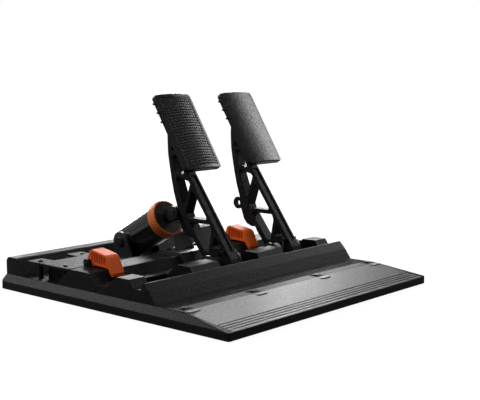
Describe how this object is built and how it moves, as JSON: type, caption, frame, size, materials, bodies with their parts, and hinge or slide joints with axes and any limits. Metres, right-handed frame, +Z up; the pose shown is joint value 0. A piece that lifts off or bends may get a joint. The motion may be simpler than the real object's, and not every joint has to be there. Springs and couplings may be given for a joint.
{
  "type": "sim racing pedal set",
  "caption": "Moulded base tray with pedal bays, a brake pedal against a load cylinder, a sprung throttle pedal, locking clips and a control box.",
  "frame": {"origin": "on the floor, at the centre of the tray's outline", "axes": "+X to the driver's right, +Y away from the driver, +Z up"},
  "size_m": [0.38, 0.386, 0.2442],
  "materials": {
    "black_moulding": "fine grained glass-filled moulding",
    "heel_plate_black": "fine grained plate",
    "orange_plastic": "semi-matt moulded",
    "orange_ring": "orange anodised",
    "rubber_black": "matt",
    "bracket_steel": "satin black powder coat",
    "gloss_tube": "glossy black",
    "cap_black": "satin",
    "bronze_bush": "sintered bronze",
    "bright_steel": "turned",
    "black_steel": "black oxide",
    "spring_steel": "spring wire",
    "black_screws": "black oxide",
    "spacer_plastic": "smooth",
    "magnet_steel": "nickel plated",
    "board_green": "solder resist",
    "socket_black": "smooth",
    "usb_steel": "plated",
    "elastomer_soft_white": "smooth",
    "elastomer_medium_grey": "smooth",
    "elastomer_hard_black": "smooth"
  },
  "bodies": {
    "base": {"axle_bushes": "bronze_bush", "base_tray": "black_moulding", "brake_base": "bracket_steel", "brake_base_screws": "black_screws", "brake_end_stop": "rubber_black", "circuit_board": "board_green", "clip_pins": "black_steel", "control_box_housing": "black_moulding", "control_box_lid": "black_moulding", "control_box_screws": "black_screws", "heel_plate": "heel_plate_black", "heel_plate_screws": "black_screws", "pedal_sockets": "socket_black", "rest_stops": "rubber_black", "rubber_feet": "rubber_black", "throttle_bracket": "bracket_steel", "throttle_end_bumper": "rubber_black", "throttle_sensor_board": "board_green", "throttle_sensor_housing": "black_moulding", "throttle_sensor_screws": "black_screws", "throttle_spring_left": "spring_steel", "throttle_spring_right": "spring_steel", "trunnion_bushes": "bronze_bush", "usb_socket": "usb_steel"},
    "throttle_arm_body": {"throttle_arm": "black_moulding", "throttle_axle": "bright_steel", "throttle_axle_clips": "bright_steel", "throttle_spacers": "spacer_plastic", "throttle_magnet": "magnet_steel", "throttle_pad_bracket": "black_moulding", "throttle_bracket_screws": "black_screws", "throttle_pad": "black_moulding", "throttle_pad_screws": "black_screws"},
    "brake_arm_body": {"brake_arm": "black_moulding", "brake_axle": "bright_steel", "brake_axle_clips": "bright_steel", "brake_spacers": "spacer_plastic", "brake_pad_bracket": "black_moulding", "brake_bracket_screws": "black_screws", "brake_pad": "black_moulding", "brake_pad_screws": "black_screws"},
    "cylinder": {"cylinder_tube": "gloss_tube", "cylinder_front_cap": "cap_black", "cylinder_end_cap": "gloss_tube", "elastomer_soft": "elastomer_soft_white", "elastomer_medium": "elastomer_medium_grey", "elastomer_hard": "elastomer_hard_black", "rear_washer": "bright_steel", "load_cell": "bright_steel", "load_cell_screw": "black_screws", "trunnion_pins": "black_steel"},
    "rod": {"brake_pushrod": "black_steel", "brake_clevis": "black_steel", "brake_clevis_pin": "black_steel", "clevis_pin_clip": "black_steel", "front_washer": "bright_steel"},
    "preload_ring_body": {"preload_ring": "orange_ring"},
    "clutch_clip_body": {"clutch_bay_clip": "orange_plastic"},
    "throttle_clip_body": {"throttle_clip": "orange_plastic"}
  },
  "joints": [
    {"name": "brake_press", "type": "hinge", "parent": "base", "child": "brake_arm_body", "pos_m": [-0.002, -0.011, 0.033], "axis": [-1, 0, 0], "range_deg": [0, 4.5], "stiffness_Nm_per_rad": 900, "springref_deg": -1.72},
    {"name": "cylinder_swing", "type": "hinge", "parent": "base", "child": "cylinder", "pos_m": [-0.002, 0.14664, 0.0455], "axis": [1, 0, 0], "range_deg": [0, 2.4]},
    {"name": "rod_slide", "type": "slide", "parent": "cylinder", "child": "rod", "axis": [0, 0.8729, -0.4879], "range_m": [0, 0.0069], "deforming": ["elastomer_soft", "elastomer_medium", "elastomer_hard"]},
    {"name": "preload_ring_turn", "type": "hinge", "parent": "cylinder", "child": "preload_ring_body", "pos_m": [-0.002, 0.08379, 0.08062], "axis": [0, 0.8729, -0.4879], "range_deg": [-180, 180]},
    {"name": "throttle_press", "type": "hinge", "parent": "base", "child": "throttle_arm_body", "pos_m": [0.121, -0.011, 0.033], "axis": [-1, 0, 0], "range_deg": [0, 14], "stiffness_Nm_per_rad": 8, "springref_deg": -20.05, "deforming": ["throttle_spring_left", "throttle_spring_right"]},
    {"name": "clutch_clip_hinge", "type": "hinge", "parent": "base", "child": "clutch_clip_body", "pos_m": [-0.1465, 0.063, 0.046], "axis": [-1, 0, 0], "range_deg": [0, 70]},
    {"name": "throttle_clip_hinge", "type": "hinge", "parent": "base", "child": "throttle_clip_body", "pos_m": [0.0995, 0.063, 0.046], "axis": [-1, 0, 0], "range_deg": [0, 70]}
  ],
  "couplings": [
    {"joint": "cylinder_swing", "follows": "brake_press", "ratio": 0.5067},
    {"joint": "rod_slide", "follows": "brake_press", "m_per_rad": 0.0853}
  ]
}
